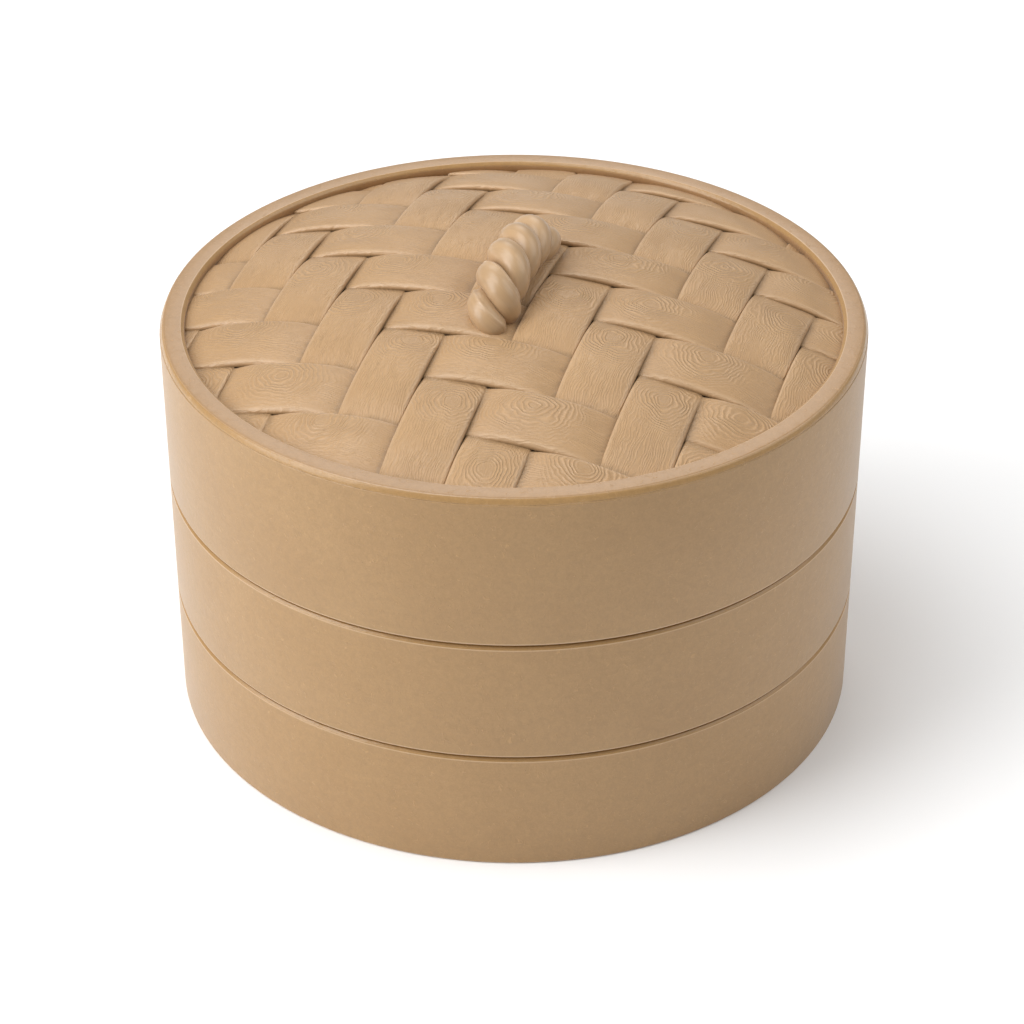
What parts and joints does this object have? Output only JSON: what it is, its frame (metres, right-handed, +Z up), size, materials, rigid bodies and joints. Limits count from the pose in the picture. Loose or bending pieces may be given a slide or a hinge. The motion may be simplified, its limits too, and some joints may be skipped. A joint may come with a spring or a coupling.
{
  "type": "bamboo steamer basket",
  "caption": "Round stacking steamer basket of bent bamboo hoops with slatted tier floors and a domed lid of wide woven strips with a twisted arch handle.",
  "frame": {"origin": "centre of the bottom face of the lowest hoop, on the hoops' axis", "axes": "+Z up along the hoops' axis; -Y to the front; the lid's middle strips and the handle lie 17.5 degrees clockwise from Y, seen from above"},
  "size_m": [0.254, 0.254, 0.1862],
  "materials": {
    "band": "satin bent bamboo with fine grain round the hoop",
    "rim": "satin bent bamboo",
    "strip": "satin split bamboo with marked grain",
    "slat": "matt split bamboo",
    "handle": "smooth, slightly polished bamboo"
  },
  "bodies": {
    "lower_tier": {"tier1_outer_hoop": "band", "tier1_inner_hoop": "band", "tier1_floor_hoop": "band", "tier1_rib_left": "slat", "tier1_rib_right": "slat", "tier1_slat_1": "slat", "tier1_slat_2": "slat", "tier1_slat_3": "slat", "tier1_slat_4": "slat", "tier1_slat_5": "slat", "tier1_slat_6": "slat", "tier1_slat_7": "slat", "tier1_slat_8": "slat", "tier1_slat_9": "slat", "tier1_slat_10": "slat"},
    "upper_tier": {"tier2_outer_hoop": "band", "tier2_inner_hoop": "band", "tier2_floor_hoop": "band", "tier2_rib_left": "slat", "tier2_rib_right": "slat", "tier2_slat_1": "slat", "tier2_slat_2": "slat", "tier2_slat_3": "slat", "tier2_slat_4": "slat", "tier2_slat_5": "slat", "tier2_slat_6": "slat", "tier2_slat_7": "slat", "tier2_slat_8": "slat", "tier2_slat_9": "slat", "tier2_slat_10": "slat"},
    "lid": {"lid_outer_hoop": "band", "lid_rim_hoop": "rim", "lid_inner_hoop": "band", "warp_strip_1": "strip", "warp_strip_2": "strip", "warp_strip_3": "strip", "warp_strip_4": "strip", "warp_strip_5": "strip", "warp_strip_6": "strip", "warp_strip_7": "strip", "warp_strip_8": "strip", "warp_strip_9": "strip", "warp_strip_10": "strip", "warp_strip_11": "strip", "weft_strip_1": "strip", "weft_strip_2": "strip", "weft_strip_3": "strip", "weft_strip_4": "strip", "weft_strip_5": "strip", "weft_strip_6": "strip", "weft_strip_7": "strip", "weft_strip_8": "strip", "weft_strip_9": "strip", "weft_strip_10": "strip", "lid_brace": "slat", "handle_strand_a": "handle", "handle_strand_b": "handle", "handle_peg_front": "handle", "handle_peg_back": "handle"}
  },
  "joints": [
    {"name": "upper_tier_lift", "type": "slide", "parent": "lower_tier", "child": "upper_tier", "axis": [0, 0, 1], "range_m": [0, 0.1]},
    {"name": "lid_lift", "type": "slide", "parent": "upper_tier", "child": "lid", "axis": [0, 0, 1], "range_m": [0, 0.1]}
  ]
}
